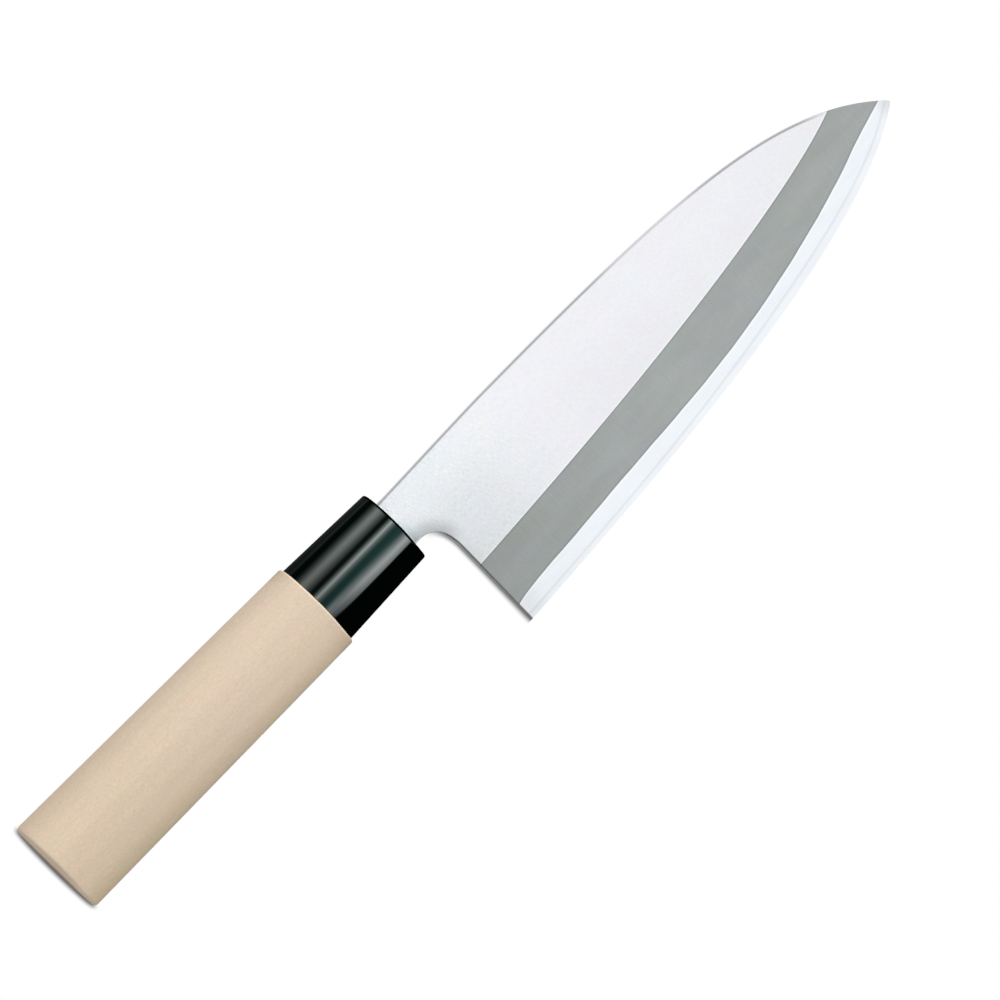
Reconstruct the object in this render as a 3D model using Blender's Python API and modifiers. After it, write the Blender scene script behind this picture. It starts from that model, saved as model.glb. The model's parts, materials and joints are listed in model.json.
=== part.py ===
"""A santoku kitchen knife with a D-shaped wooden handle, lying on its left side.

The knife is built in its own frame and then laid down as one rigid thing. In that frame X runs from
the heel to the tip, Y from the edge to the spine, and Z out of the blade's right side. X is 0 at the
heel, Y is 0 on the handle's axis and Z is 0 in the middle of the blade. Units are metres.
"""

import math

import bmesh
import bpy
import numpy as np
from mathutils import Matrix, Vector
from mathutils.geometry import interpolate_bezier

MM = 0.001

# The bar of three steels
STOCK = 2.4 * MM
CORE = 0.76 * MM
ARRIS_ROUND = 0.3 * MM  # the softened corners along the spine, the neck and the heel

# Blade outline
BLADE_LENGTH = 165.5 * MM
SPINE_HIGH = 8.5 * MM  # the highest point of the spine over the handle's axis
SPINE_HIGH_X = 34.0 * MM
EDGE_DROP = 43.2 * MM  # the edge under the axis, at the heel
TIP_DROP = 14.85 * MM
TIP_ROUND = 0.7 * MM
SPINE_TIP_ANGLE = 43.0  # degrees that the spine falls at the tip
EDGE_TIP_ANGLE = 34.7  # degrees that the edge rises at the tip
EDGE_HEEL_ANGLE = 3.1
SPINE_PULL_REAR = 8.5 * MM
SPINE_PULL_FRONT = 77.0 * MM  # how long the spine stays straight, from its highest point
SPINE_PULL_TIP = 29.0 * MM
EDGE_PULL_HEEL = 55.0 * MM
EDGE_PULL_TIP = 36.0 * MM

# Neck and choil, where the blade narrows to meet the collar
NECK_TOP = 7.55 * MM
NECK_BOTTOM = 7.2 * MM
NECK_STRAIGHT = 1.8 * MM
CHOIL_FRONT = 0.7 * MM
CHOIL_DROP = 16.0 * MM
CHOIL_PULL_UP = 5.5 * MM
CHOIL_PULL_BACK = 4.0 * MM

# Grind, measured across the blade from the edge
GRIND_HEEL = 19.8 * MM
GRIND_TIP = 15.0 * MM
GRIND_FALL = 5  # the power of the distance from the heel at which the grind narrows
EDGE_BEVEL = 2.0 * MM
EDGE_BEVEL_THICKNESS = 0.3 * MM
EDGE_THICKNESS = 0.04 * MM

# Tang
TANG_LENGTH = 92.0 * MM
TANG_THICKNESS = 2.0 * MM
TANG_ROOT = 9.0 * MM
TANG_END = 6.0 * MM

# Collar
COLLAR_GAP = 7.6 * MM  # from the heel back to the collar
COLLAR_LENGTH = 29.6 * MM
COLLAR_FRONT_WIDTH = 23.2 * MM
COLLAR_FRONT_DEPTH = 19.0 * MM
COLLAR_REAR_WIDTH = 25.5 * MM
COLLAR_REAR_DEPTH = 20.0 * MM
COLLAR_WALL = 1.8 * MM
COLLAR_ROUND = 0.6 * MM

# Wood
WOOD_LENGTH = 98.2 * MM  # what shows behind the collar
WOOD_FRONT_WIDTH = 27.3 * MM
WOOD_FRONT_DEPTH = 21.4 * MM
BUTT_WIDTH = 29.5 * MM
BUTT_DEPTH = 23.0 * MM
BUTT_RISE = 0.7 * MM  # the wood leans this far towards the spine side
WOOD_FRONT_ROUND = 0.8 * MM
BUTT_ROUND = 1.0 * MM

# The D of the handle's section: an oval with one flat on the right side, towards the edge
FLAT_CUT = 1.9 * MM
FLAT_SLOPE = 45.0
RIDGE_ROUND = 1.2 * MM

# Fits
CLEARANCE = 0.3 * MM
BEDDING = 0.6 * MM

# Smoothness
NECK_STEPS = 6
SPINE_STEPS = 36
EDGE_STEPS = 48
CHOIL_STEPS = 10
SECTION_POINTS = 64
ROUND_STEPS = 5
ARRIS_STEPS = 3
WOOD_STEPS = 4
SHARP_ANGLE = 25.0  # degrees between two faces from which their edge stays sharp

# Densities, for the way the knife lies, in kilograms a cubic metre
STEEL_DENSITY = 7750
WOOD_DENSITY = 480
PLASTIC_DENSITY = 1250
RESIN_DENSITY = 1150

# Places that several pieces share
COLLAR_FRONT = -COLLAR_GAP
COLLAR_REAR = COLLAR_FRONT - COLLAR_LENGTH
BUTT_END = COLLAR_REAR - WOOD_LENGTH
SHOULDER = COLLAR_FRONT + CLEARANCE
TANG_TIP = SHOULDER - TANG_LENGTH
TENON_FRONT = COLLAR_FRONT - COLLAR_WALL - CLEARANCE

# How far a cutter reaches past what it cuts
PAST = 3.0 * MM

# How squarely a face of the hull looks out of the left side when the knife can lie on it
LYING_ANGLE = 26.0  # degrees that the lying knife may be turned from flat on its left side


def clear_scene():
    for obj in list(bpy.data.objects):
        bpy.data.objects.remove(obj, do_unlink=True)


def new_collection(name, shown):
    collection = bpy.data.collections.new(name)
    collection.hide_render = not shown
    bpy.context.scene.collection.children.link(collection)
    return collection


def new_object(name, mesh, collection, frame):
    obj = bpy.data.objects.new(name, mesh)
    collection.objects.link(obj)
    obj.parent = frame
    if collection.hide_render:
        obj.hide_render = True
        obj.display_type = "WIRE"
    return obj


def finish(obj, colour, roughness, metallic, density):
    """Gives the object its material, smooth shading and the density that it is weighed with."""
    material = bpy.data.materials.new(obj.name)
    material.use_nodes = True
    shader = material.node_tree.nodes["Principled BSDF"]
    shader.inputs["Base Color"].default_value = (*colour, 1.0)
    shader.inputs["Roughness"].default_value = roughness
    shader.inputs["Metallic"].default_value = metallic
    obj.data.materials.append(material)
    obj.data.shade_smooth()
    obj.data.set_sharp_from_angle(angle=math.radians(SHARP_ANGLE))
    obj["density"] = density


def cut(obj, cutter):
    modifier = obj.modifiers.new("cut " + cutter.name, "BOOLEAN")
    modifier.operation = "DIFFERENCE"
    modifier.object = cutter


def polar(length, degrees):
    angle = math.radians(degrees)
    return Vector((length * math.cos(angle), length * math.sin(angle)))


def between(start, end, share):
    return start + (end - start) * share


def stretch(start, start_pull, end_pull, end, steps):
    """The points along a Bezier curve, with both of its ends."""
    points = interpolate_bezier(start, start + start_pull, end + end_pull, end, steps + 1)
    return [Vector(point[:2]) for point in points]


def slab(name, outline, low, high, collection, frame):
    """An outline in the XY plane, from low to high along Z, with one face on each side."""
    curve = bpy.data.curves.new(name, "CURVE")
    curve.dimensions = "2D"
    curve.fill_mode = "BOTH"
    curve.extrude = (high - low) / 2
    spline = curve.splines.new("POLY")
    spline.use_cyclic_u = True
    spline.points.add(len(outline) - 1)
    for spot, point in zip(spline.points, outline):
        spot.co = (*point, 0, 1)
    guide = bpy.data.objects.new(name, curve)
    collection.objects.link(guide)
    graph = bpy.context.evaluated_depsgraph_get()
    mesh = bpy.data.meshes.new_from_object(guide.evaluated_get(graph))
    bpy.data.objects.remove(guide)
    bm = bmesh.new()
    bm.from_mesh(mesh)
    bmesh.ops.remove_doubles(bm, verts=bm.verts, dist=0.001 * MM)
    bmesh.ops.recalc_face_normals(bm, faces=bm.faces)
    flat = [face for face in bm.faces if abs(face.normal.z) > 0.5]
    bmesh.ops.dissolve_faces(bm, faces=flat)
    bmesh.ops.translate(bm, verts=bm.verts, vec=(0, 0, (low + high) / 2))
    bm.to_mesh(mesh)
    bm.free()
    return new_object(name, mesh, collection, frame)


def loft(name, rings, collection, frame):
    """A closed skin over rings of as many points each, in order."""
    bm = bmesh.new()
    loops = [[bm.verts.new(point) for point in ring] for ring in rings]
    for first, second in zip(loops, loops[1:]):
        for i in range(len(first)):
            bm.faces.new((first[i - 1], first[i], second[i], second[i - 1]))
    bm.faces.new(loops[0])
    bm.faces.new(loops[-1])
    bmesh.ops.recalc_face_normals(bm, faces=bm.faces)
    mesh = bpy.data.meshes.new(name)
    bm.to_mesh(mesh)
    bm.free()
    return new_object(name, mesh, collection, frame)


def box(name, low, high, collection, frame):
    bm = bmesh.new()
    bmesh.ops.create_cube(bm, size=1)
    size = Vector(high) - Vector(low)
    middle = (Vector(high) + Vector(low)) / 2
    bmesh.ops.scale(bm, verts=bm.verts, vec=size)
    bmesh.ops.translate(bm, verts=bm.verts, vec=middle)
    mesh = bpy.data.meshes.new(name)
    bm.to_mesh(mesh)
    bm.free()
    return new_object(name, mesh, collection, frame)


def tip_ends():
    """Where the tip's small round meets the spine and where it meets the edge."""
    half = math.radians(SPINE_TIP_ANGLE + EDGE_TIP_ANGLE) / 2
    lean = math.radians(SPINE_TIP_ANGLE - EDGE_TIP_ANGLE) / 2
    apex_x = BLADE_LENGTH - TIP_ROUND + TIP_ROUND / math.sin(half) * math.cos(lean)
    apex = Vector((apex_x, -TIP_DROP))
    reach = TIP_ROUND / math.tan(half)
    return apex - polar(reach, -SPINE_TIP_ANGLE), apex - polar(reach, EDGE_TIP_ANGLE)


def edge_points():
    """The cutting edge, from the heel to the tip's round."""
    heel = Vector((0, -EDGE_DROP))
    _, front = tip_ends()
    heel_pull = polar(EDGE_PULL_HEEL, EDGE_HEEL_ANGLE)
    front_pull = -polar(EDGE_PULL_TIP, EDGE_TIP_ANGLE)
    return stretch(heel, heel_pull, front_pull, front, EDGE_STEPS)


def tip_points():
    turn = math.radians(180 - SPINE_TIP_ANGLE - EDGE_TIP_ANGLE)
    pull = TIP_ROUND * 4 / 3 * math.tan(turn / 4)
    start, end = tip_ends()
    start_pull = polar(pull, -SPINE_TIP_ANGLE)
    end_pull = polar(pull, EDGE_TIP_ANGLE)
    return stretch(start, start_pull, end_pull, end, ROUND_STEPS)


def spine_points():
    """The spine, from the collar over its highest point to the tip's round."""
    neck = Vector((SHOULDER, NECK_TOP))
    high = Vector((SPINE_HIGH_X, SPINE_HIGH))
    front, _ = tip_ends()
    rear_pull = Vector((-SPINE_PULL_REAR, 0))
    rear = stretch(neck, (high - neck) / 3, rear_pull, high, NECK_STEPS)
    front_pull = Vector((SPINE_PULL_FRONT, 0))
    tip_pull = -polar(SPINE_PULL_TIP, -SPINE_TIP_ANGLE)
    return rear[:-1] + stretch(high, front_pull, tip_pull, front, SPINE_STEPS)


def choil_points():
    """The hollow under the neck, from the heel's face back to the collar."""
    start = Vector((CHOIL_FRONT, -CHOIL_DROP))
    end = Vector((SHOULDER + NECK_STRAIGHT, -NECK_BOTTOM))
    up = Vector((0, CHOIL_PULL_UP))
    front = Vector((CHOIL_PULL_BACK, 0))
    return stretch(start, up, front, end, CHOIL_STEPS) + [Vector((SHOULDER, -NECK_BOTTOM))]


def blade_outline():
    """The whole outline of the steel, clockwise from the neck's top."""
    round_tip = tip_points()[1:-1]
    edge = list(reversed(edge_points()))
    return spine_points() + round_tip + edge + choil_points() + tang_corners(SHOULDER, 0)


def tang_corners(front, margin):
    """The tang's outline from front back to its tip, grown by a margin."""
    share = (SHOULDER - front) / TANG_LENGTH
    root = between(TANG_ROOT, TANG_END, share) / 2 + margin
    end = TANG_END / 2 + margin
    tip = TANG_TIP - margin
    return [Vector(corner) for corner in ((front, -root), (tip, -end), (tip, end), (front, root))]


def cladding(name, side, collection, frame):
    """A plate on one side of the core, with the corners of its outer face rounded."""
    low, high = sorted((side * CORE / 2, side * STOCK / 2))
    plate = slab(name, blade_outline(), low, high, collection, frame)
    weights = plate.data.attributes.new("bevel_weight_edge", "FLOAT", "EDGE")
    for edge, weight in zip(plate.data.edges, weights.data):
        heights = [side * plate.data.vertices[i].co.z for i in edge.vertices]
        weight.value = 1.0 if min(heights) > (CORE + STOCK) / 4 else 0.0
    arris = plate.modifiers.new("arris", "BEVEL")
    arris.limit_method = "WEIGHT"
    arris.width = ARRIS_ROUND
    arris.segments = ARRIS_STEPS
    return plate


def grind_cutter(name, side, collection, frame):
    """What the wheel takes off one side of the blade: a wedge swept along the edge."""
    line = edge_points()
    line.insert(0, line[0] - (line[1] - line[0]).normalized() * PAST)
    line.append(line[-1] + (line[-1] - line[-2]).normalized() * 2 * PAST)
    bevel_z = EDGE_BEVEL_THICKNESS / 2
    bevel_slope = (EDGE_BEVEL_THICKNESS - EDGE_THICKNESS) / 2 / EDGE_BEVEL
    rings = []
    for i, point in enumerate(line):
        before = line[max(i - 1, 0)]
        after = line[min(i + 1, len(line) - 1)]
        along = (after - before).normalized()
        inward = Vector((-along.y, along.x))
        share = min(max(point.x / BLADE_LENGTH, 0), 1)
        width = between(GRIND_HEEL, GRIND_TIP, share**GRIND_FALL)
        slope = (STOCK - EDGE_BEVEL_THICKNESS) / 2 / (width - EDGE_BEVEL)
        reach = width + PAST
        section = [
            (-PAST, bevel_z - bevel_slope * (EDGE_BEVEL + PAST)),
            (EDGE_BEVEL, bevel_z),
            (reach, bevel_z + slope * (reach - EDGE_BEVEL)),
            (reach, STOCK + PAST),
            (-PAST, STOCK + PAST),
        ]
        rings.append([(*(point + inward * depth), side * height) for depth, height in section])
    return loft(name, rings, collection, frame)


def tang_cutter(name, side, collection, frame):
    """What is ground off one side of the tang, which leaves a shoulder that meets the collar."""
    near, far = side * TANG_THICKNESS / 2, side * (STOCK / 2 + PAST)
    low = (TANG_TIP - PAST, -TANG_ROOT, min(near, far))
    high = (SHOULDER, TANG_ROOT, max(near, far))
    return box(name, low, high, collection, frame)


def handle_section(width, depth):
    """The handle's section as (y, z) points: an oval whose lower right is pressed to a flat."""
    slope = math.radians(FLAT_SLOPE)
    face_y, face_z = -math.sin(slope), math.cos(slope)
    reach = math.hypot(width / 2 * face_y, depth / 2 * face_z)
    points = []
    for i in range(SECTION_POINTS):
        turn = math.tau * i / SECTION_POINTS
        y = width / 2 * math.cos(turn)
        z = depth / 2 * math.sin(turn)
        over = y * face_y + z * face_z - (reach - FLAT_CUT)
        press = (over + math.hypot(over, RIDGE_ROUND)) / 2
        points.append((y - press * face_y, z - press * face_z))
    return points


def collar_ring(x, margin):
    """The collar's outer section at x, or one set in from it by a margin."""
    share = (COLLAR_FRONT - x) / COLLAR_LENGTH
    width = between(COLLAR_FRONT_WIDTH, COLLAR_REAR_WIDTH, share) - 2 * margin
    depth = between(COLLAR_FRONT_DEPTH, COLLAR_REAR_DEPTH, share) - 2 * margin
    return [(x, y, z) for y, z in handle_section(width, depth)]


def wood_ring(x, margin):
    share = (COLLAR_REAR - x) / WOOD_LENGTH
    width = between(WOOD_FRONT_WIDTH, BUTT_WIDTH, share) - 2 * margin
    depth = between(WOOD_FRONT_DEPTH, BUTT_DEPTH, share) - 2 * margin
    rise = BUTT_RISE * share
    return [(x, y + rise, z) for y, z in handle_section(width, depth)]


def rounded_end(ring, x, back, radius):
    """Rings round an end, from its flat face at x to its full section, a radius back along X."""
    rings = []
    for i in range(ROUND_STEPS + 1):
        turn = math.pi / 2 * i / ROUND_STEPS
        margin = radius * (1 - math.sin(turn))
        rings.append(ring(x + back * radius * (1 - math.cos(turn)), margin))
    return rings


def make_blade(parts, cutters, frame):
    core = slab("core_steel", blade_outline(), -CORE / 2, CORE / 2, parts, frame)
    for side, sign in {"right": 1, "left": -1}.items():
        plate = cladding("cladding_" + side, sign, parts, frame)
        grind = grind_cutter("grind_" + side, sign, cutters, frame)
        cut(plate, grind)
        cut(core, grind)
        cut(plate, tang_cutter("tang_thin_" + side, sign, cutters, frame))
        finish(plate, (0.66, 0.67, 0.69), 0.32, 1.0, STEEL_DENSITY)
    finish(core, (0.80, 0.82, 0.84), 0.22, 1.0, STEEL_DENSITY)


def make_collar(parts, cutters, frame):
    rings = rounded_end(collar_ring, COLLAR_FRONT, -1, COLLAR_ROUND)
    rings.append(collar_ring(COLLAR_REAR, 0))
    collar = loft("collar", rings, parts, frame)
    ends = (COLLAR_FRONT - COLLAR_WALL, COLLAR_REAR - PAST)
    hollow = [collar_ring(x, COLLAR_WALL) for x in ends]
    cut(collar, loft("collar_hollow", hollow, cutters, frame))
    half_height = TANG_ROOT / 2 + CLEARANCE
    half_width = TANG_THICKNESS / 2 + CLEARANCE
    low = (COLLAR_FRONT - COLLAR_WALL - PAST, -half_height, -half_width)
    high = (COLLAR_FRONT + PAST, half_height, half_width)
    cut(collar, box("collar_slot", low, high, cutters, frame))
    finish(collar, (0.012, 0.014, 0.014), 0.12, 0.0, PLASTIC_DENSITY)


def make_wood(parts, cutters, frame):
    tenon = COLLAR_WALL + CLEARANCE
    rings = [collar_ring(TENON_FRONT, tenon), collar_ring(COLLAR_REAR, tenon)]
    rings += rounded_end(wood_ring, COLLAR_REAR, -1, WOOD_FRONT_ROUND)
    straight = WOOD_LENGTH - WOOD_FRONT_ROUND - BUTT_ROUND
    for i in range(1, WOOD_STEPS):
        rings.append(wood_ring(COLLAR_REAR - WOOD_FRONT_ROUND - straight * i / WOOD_STEPS, 0))
    rings += reversed(rounded_end(wood_ring, BUTT_END, 1, BUTT_ROUND))
    wood = loft("handle", rings, parts, frame)
    margin = 2 * CLEARANCE + BEDDING
    hole = tang_corners(TENON_FRONT + PAST, margin)
    half = TANG_THICKNESS / 2 + margin
    cut(wood, slab("tang_hole", hole, -half, half, cutters, frame))
    finish(wood, (0.66, 0.52, 0.38), 0.62, 0.0, WOOD_DENSITY)


def make_bedding(parts, cutters, frame):
    margin = CLEARANCE + BEDDING
    half = TANG_THICKNESS / 2 + margin
    bedding = slab("tang_bedding", tang_corners(TENON_FRONT, margin), -half, half, parts, frame)
    room = tang_corners(TENON_FRONT + PAST, CLEARANCE)
    half = TANG_THICKNESS / 2 + CLEARANCE
    cut(bedding, slab("tang_room", room, -half, half, cutters, frame))
    finish(bedding, (0.30, 0.24, 0.15), 0.40, 0.0, RESIN_DENSITY)


def corners_of(obj, graph):
    """The points and triangles of the object as it is seen, in the knife's own frame."""
    evaluated = obj.evaluated_get(graph)
    mesh = evaluated.to_mesh()
    mesh.calc_loop_triangles()
    points = np.array([vertex.co for vertex in mesh.vertices])
    faces = np.array([triangle.vertices for triangle in mesh.loop_triangles])
    evaluated.to_mesh_clear()
    return points, faces


def centre_of_mass(shapes):
    """From (points, triangles, density) of each piece: each triangle makes a cone to the origin."""
    total = 0.0
    moment = np.zeros(3)
    for points, faces, density in shapes:
        a, b, c = points[faces[:, 0]], points[faces[:, 1]], points[faces[:, 2]]
        mass = density * np.einsum("ij,ij->i", a, np.cross(b, c)) / 6
        total += mass.sum()
        moment += (mass[:, None] * (a + b + c) / 4).sum(axis=0)
    return Vector(moment / total)


def lay_down(frame, parts):
    """Lays the knife on the plane Z = 0 as it lies on a table, on the collar's rim and the edge.

    A body comes to rest on the face of its convex hull that brings its centre of mass lowest.
    """
    bpy.context.view_layer.update()
    graph = bpy.context.evaluated_depsgraph_get()
    shapes = [(*corners_of(obj, graph), obj["density"]) for obj in parts.objects]
    centre = centre_of_mass(shapes)
    cloud = np.concatenate([points for points, _, _ in shapes])
    hull = bmesh.new()
    for point in cloud:
        hull.verts.new(point)
    bmesh.ops.convex_hull(hull, input=hull.verts)
    bmesh.ops.recalc_face_normals(hull, faces=hull.faces)
    limit = math.cos(math.radians(LYING_ANGLE))
    downs = [face.normal.copy() for face in hull.faces if face.normal.z < -limit]
    hull.free()
    down = min(downs, key=lambda normal: (cloud @ np.array(normal)).max() - normal.dot(centre))
    turn = down.rotation_difference(Vector((0, 0, -1))).to_matrix()
    laid = cloud @ np.array(turn).T
    low, high = laid.min(axis=0), laid.max(axis=0)
    place = Vector((-(low[0] + high[0]) / 2, -(low[1] + high[1]) / 2, -low[2]))
    frame.matrix_world = Matrix.Translation(place) @ turn.to_4x4()
    bpy.context.view_layer.update()


def make_knife():
    clear_scene()
    parts = new_collection("santoku_knife", shown=True)
    cutters = new_collection("cutters", shown=False)
    frame = bpy.data.objects.new("knife_frame", None)
    bpy.context.scene.collection.objects.link(frame)
    make_blade(parts, cutters, frame)
    make_collar(parts, cutters, frame)
    make_wood(parts, cutters, frame)
    make_bedding(parts, cutters, frame)
    lay_down(frame, parts)


make_knife()
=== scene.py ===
"""The santoku knife as it is seen: satin and hazed steel, a glossy black collar and pale wood.

Every piece is made in the knife's own frame and laid down where the record's mounts say. X runs
from the heel to the tip, Y from the edge to the spine and Z out of the blade's right side. X is 0
at the heel, Y on the handle's axis and Z in the middle of the blade. Units are metres.
"""

import json
import math

import bmesh
import bpy
import numpy as np
from mathutils import Matrix, Vector
from mathutils.kdtree import KDTree


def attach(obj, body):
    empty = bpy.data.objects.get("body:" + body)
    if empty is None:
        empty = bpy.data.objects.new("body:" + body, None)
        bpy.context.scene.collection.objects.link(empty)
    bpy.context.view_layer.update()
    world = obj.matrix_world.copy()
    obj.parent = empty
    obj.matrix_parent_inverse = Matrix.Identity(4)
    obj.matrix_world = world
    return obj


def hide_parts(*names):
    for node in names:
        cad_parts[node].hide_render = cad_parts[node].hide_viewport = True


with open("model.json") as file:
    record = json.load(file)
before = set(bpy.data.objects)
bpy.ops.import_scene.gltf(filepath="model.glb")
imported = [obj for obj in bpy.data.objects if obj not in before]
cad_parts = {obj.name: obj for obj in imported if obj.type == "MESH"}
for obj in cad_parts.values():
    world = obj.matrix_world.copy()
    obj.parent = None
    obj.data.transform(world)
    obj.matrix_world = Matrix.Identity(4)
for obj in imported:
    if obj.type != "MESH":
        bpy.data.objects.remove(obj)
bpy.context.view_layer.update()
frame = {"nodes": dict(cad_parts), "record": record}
ROOT = "root"
MM = 0.001

# Blade, the same sizes as in the part's source
STOCK = 2.4 * MM
ARRIS_ROUND = 0.3 * MM
BLADE_LENGTH = 165.5 * MM
SPINE_HIGH = 8.5 * MM
SPINE_HIGH_X = 34.0 * MM
EDGE_DROP = 43.2 * MM
TIP_DROP = 14.85 * MM
TIP_ROUND = 0.7 * MM
SPINE_TIP_ANGLE = 43.0
EDGE_TIP_ANGLE = 34.7
EDGE_HEEL_ANGLE = 3.1
SPINE_PULL_REAR = 8.5 * MM
SPINE_PULL_FRONT = 77.0 * MM
SPINE_PULL_TIP = 29.0 * MM
EDGE_PULL_HEEL = 55.0 * MM
EDGE_PULL_TIP = 36.0 * MM
NECK_TOP = 7.55 * MM
NECK_BOTTOM = 7.2 * MM
NECK_STRAIGHT = 1.8 * MM
CHOIL_FRONT = 0.7 * MM
CHOIL_DROP = 16.0 * MM
CHOIL_PULL_UP = 5.5 * MM
CHOIL_PULL_BACK = 4.0 * MM
GRIND_HEEL = 19.8 * MM
GRIND_TIP = 15.0 * MM
GRIND_FALL = 5
EDGE_BEVEL = 2.0 * MM
EDGE_BEVEL_THICKNESS = 0.3 * MM
EDGE_THICKNESS = 0.04 * MM
TANG_LENGTH = 92.0 * MM
TANG_THICKNESS = 2.0 * MM
TANG_ROOT = 9.0 * MM
TANG_END = 6.0 * MM

# Handle, the same sizes as in the part's source
COLLAR_GAP = 7.6 * MM
COLLAR_LENGTH = 29.6 * MM
COLLAR_FRONT_WIDTH = 23.2 * MM
COLLAR_FRONT_DEPTH = 19.0 * MM
COLLAR_REAR_WIDTH = 25.5 * MM
COLLAR_REAR_DEPTH = 20.0 * MM
COLLAR_WALL = 1.8 * MM
COLLAR_ROUND = 0.6 * MM
WOOD_LENGTH = 98.2 * MM
WOOD_FRONT_WIDTH = 27.3 * MM
WOOD_FRONT_DEPTH = 21.4 * MM
BUTT_WIDTH = 29.5 * MM
BUTT_DEPTH = 23.0 * MM
BUTT_RISE = 0.7 * MM
WOOD_FRONT_ROUND = 0.8 * MM
BUTT_ROUND = 1.0 * MM
FLAT_CUT = 1.9 * MM
FLAT_SLOPE = 45.0
RIDGE_ROUND = 1.2 * MM
CLEARANCE = 0.3 * MM
BEDDING = 0.6 * MM

COLLAR_FRONT = -COLLAR_GAP
COLLAR_REAR = COLLAR_FRONT - COLLAR_LENGTH
BUTT_END = COLLAR_REAR - WOOD_LENGTH
SHOULDER = COLLAR_FRONT + CLEARANCE
TANG_TIP = SHOULDER - TANG_LENGTH
TENON_FRONT = COLLAR_FRONT - COLLAR_WALL - CLEARANCE

# The wavy line where the cladding ends and the core shows, measured across from the edge
LINE_MIDDLE = 5.82 * MM
LINE_WAVE = 0.40 * MM
LINE_WAVE_LENGTH = 97.0 * MM
LINE_WAVE_PEAK = 41.0 * MM
LINE_WAVE_START = 27.0 * MM
LINE_HEEL_DIP = 1.15 * MM
LINE_HEEL_REACH = 4.2 * MM
LINE_TIP_DIP = 2.6 * MM
LINE_TIP_START = 148.0 * MM
LINE_TIP_PAST = 1.2
LINE_TIP_POWER = 2.5
RIPPLES = ((0.03 * MM, 13.7 * MM, 1.0), (0.015 * MM, 5.9 * MM, 4.0))

# The small bevel at the edge
BEVEL_HEEL = 1.45 * MM
BEVEL_SWELL = 0.75 * MM
BEVEL_SWELL_X = 113.0 * MM
BEVEL_SWELL_REACH = 42.0 * MM

# Fineness of the curves
CURVE_STEPS = 3000
NECK_STEPS = 600
SHORT_STEPS = 400
OVERRUN = 9.0 * MM  # how far the edge's line is carried on past its ends, to measure from
CHOIL_REACH = 25.0 * MM  # how far the distance from the choil is measured

# Fineness of the steel's meshes, in columns along X and in rows across the blade
COLUMN = 1.5 * MM
FINE_START = 150.0 * MM
FINE_END = 163.0 * MM
FINE_COLUMN = COLUMN / 3
TIP_COLUMNS = 16
CHOIL_EVERY = 25
TANG_COLUMNS = 2
BEVEL_SHARES = (0, 0.5, 1)
CORE_SHARES = (0.5, 0.9, 1)
GROUND_SHARES = (0.03, 0.12, 0.3, 0.5, 0.7, 0.88, 0.98, 1)
HEEL_SHARES = (0.05, 0.3, 0.7)
UPPER_SHARES = (0.08, 0.16, 0.26, 0.38, 0.5, 0.62, 0.74, 0.85, 0.94)
ARRIS_STEPS = 6
LEAN_END = 12.0 * MM
LEAN_ROUNDS = 3
LINE_ROW = len(BEVEL_SHARES) + len(CORE_SHARES) - 1  # the row that lies on the core's line
LINE_END_LOW = 0.9 * BLADE_LENGTH  # from where that line's end on the spine is looked for
LINE_END_STEPS = 4000
WELD = 0.0001 * MM
CREASE = 0.02 * MM
SUPPORT = 0.06 * MM
SHARP_ANGLE = 25.0

# Fineness of the handle's meshes
RING_POINTS = 192
ROUND_STEPS = 10
WOOD_RINGS = 9
COLLAR_REAR_ROUND = 0.15 * MM
COLLAR_REAR_SUPPORT = 0.4 * MM
FRONT_SUPPORT = 1.5  # how many radii behind a front end the first full section lies
BUTT_SUPPORT = 1.2
NEAR_ZERO = 1e-9

# The colours that the finishes start from, and the collar's polish
SATIN = (0.842, 0.847, 0.882)
HAZED = (0.412, 0.436, 0.428)
BRIGHT = (0.827, 0.861, 0.903)
BLACK = (0.0008, 0.0012, 0.0012)
WOOD = (0.722, 0.583, 0.443)
RESIN = (0.30, 0.24, 0.15)
PLASTIC_IOR = 1.5
POLISH_ROUGHNESS = 0.02
DULL_RIM = 0.72 * MM
DULL_RIM_FADE = 0.15 * MM

# Where the camera stands, as a lean from the blade's normal towards the butt, and what it takes in
CAMERA_LEAN = 0.1007
CAMERA_DISTANCE = 6.0
VIEW_WIDTH = 264.7 * MM
VIEW_X = 16.8 * MM
VIEW_Y = -15.05 * MM
VIEW_ROLL = 45.6
SENSOR = 36.0
CLIP_END = 100.0

# The room's light at the horizon and overhead, with the heights it changes between, and the lamps
ROOM = (0.50, 1.08, 0.10, 0.80)
LAMPS = (("key", (0.1, 1.26, 0.40), 3.4), ("fill", (0.1, -1.22, 0.46), 2.2))
LAMP_SIZE = 1.0
WHITE = (1, 1, 1, 1)

# The reflector: a tube round the handle that only gloss sees, with strips of light along it
REFLECTOR_RADIUS = 16.5 * MM
REFLECTOR_STEP = 4
REFLECTOR_RINGS = 9
REFLECTOR_START = -41.0 * MM
REFLECTOR_END = -6.6 * MM
REFLECTOR_LIFT = 0.4 * MM
REFLECTOR_LEVEL = 0.61
REFLECTOR_NARROWS = 1.9
REFLECTOR_EVEN_X = -22.0 * MM

# Its strips that turn towards the rear: their middle and half their width in degrees, and how much
BENT_STRIP = -40
BENT_STRIP_HALF = 29
REFLECTOR_BEND = 11.3

# Its rear end below the blade, which is dimmer: the degrees where that is full and where it ends
DIM_FULL = -40
DIM_END = -28
DIM_DEPTH = 0.43

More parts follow.
